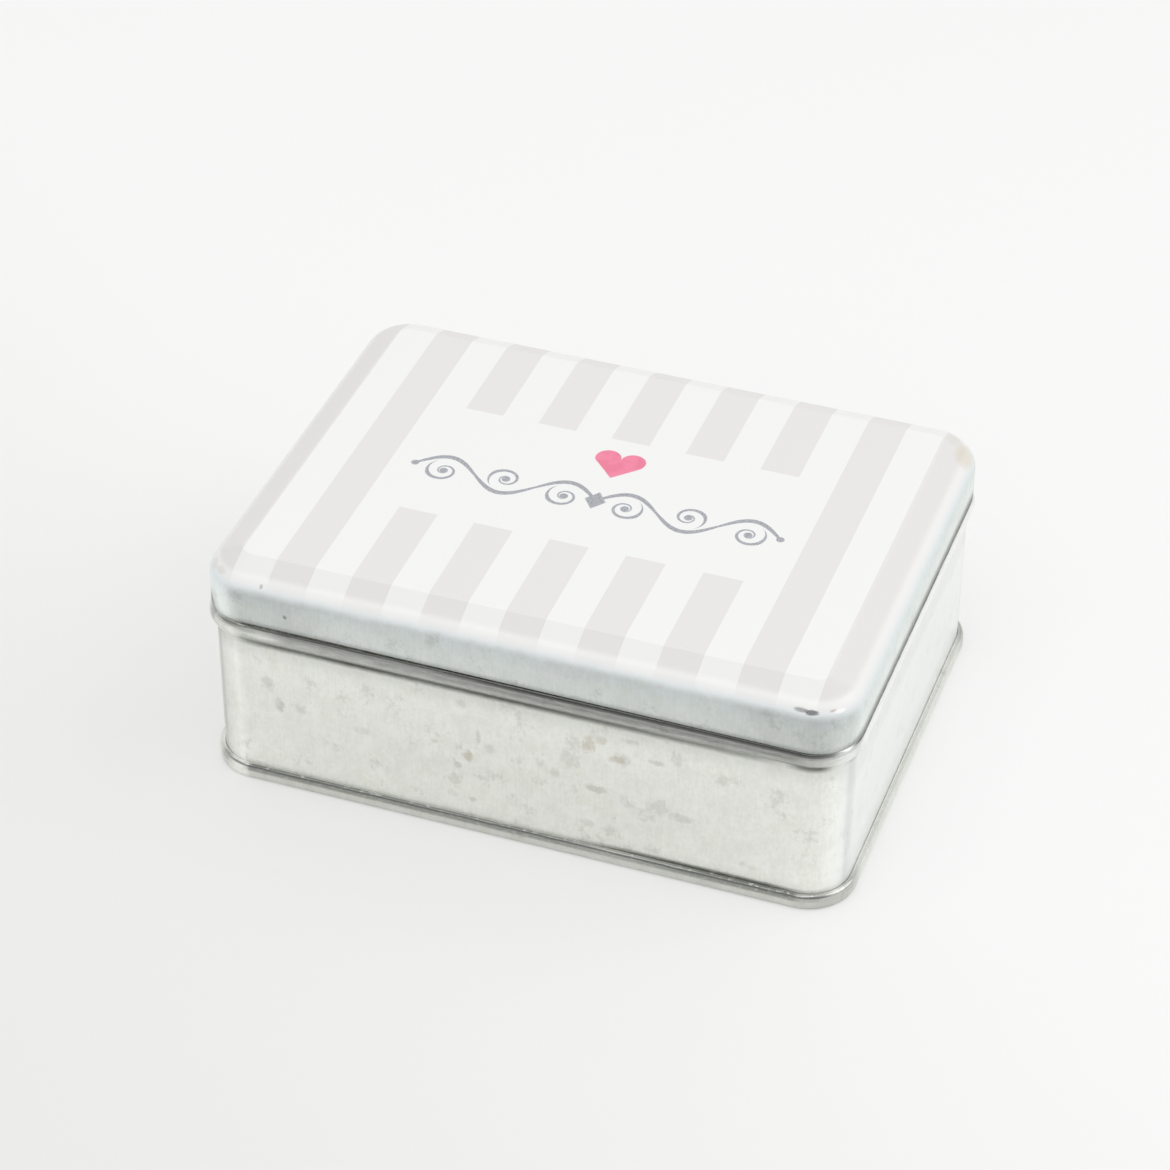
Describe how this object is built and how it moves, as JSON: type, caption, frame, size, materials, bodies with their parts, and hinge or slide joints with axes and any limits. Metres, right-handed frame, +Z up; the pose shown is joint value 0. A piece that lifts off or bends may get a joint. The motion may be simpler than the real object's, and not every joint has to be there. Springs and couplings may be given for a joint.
{
  "type": "tin box",
  "caption": "Rectangular metal tin box with rounded corners, a rolled stop bead and foot seam, and a stepped lid that lifts straight off.",
  "frame": {"origin": "centre of the foot, on the surface that the tin stands on", "axes": "+Z up, the way the lid lifts; +X along the tin's length; the front faces -Y"},
  "size_m": [0.13, 0.0962, 0.05],
  "materials": {
    "wall_metal": "satin bare tinplate",
    "seam_metal": "satin bare tinplate",
    "printed_lid": "satin white print with pale grey stripes, bare metal skirt"
  },
  "bodies": {
    "box": {"body_wall": "wall_metal", "bottom_panel": "seam_metal"},
    "lid": {"lid": "printed_lid"}
  },
  "joints": [
    {"name": "lid_lift", "type": "slide", "parent": "box", "child": "lid", "axis": [0, 0, 1], "range_m": [0, 0.06]}
  ]
}
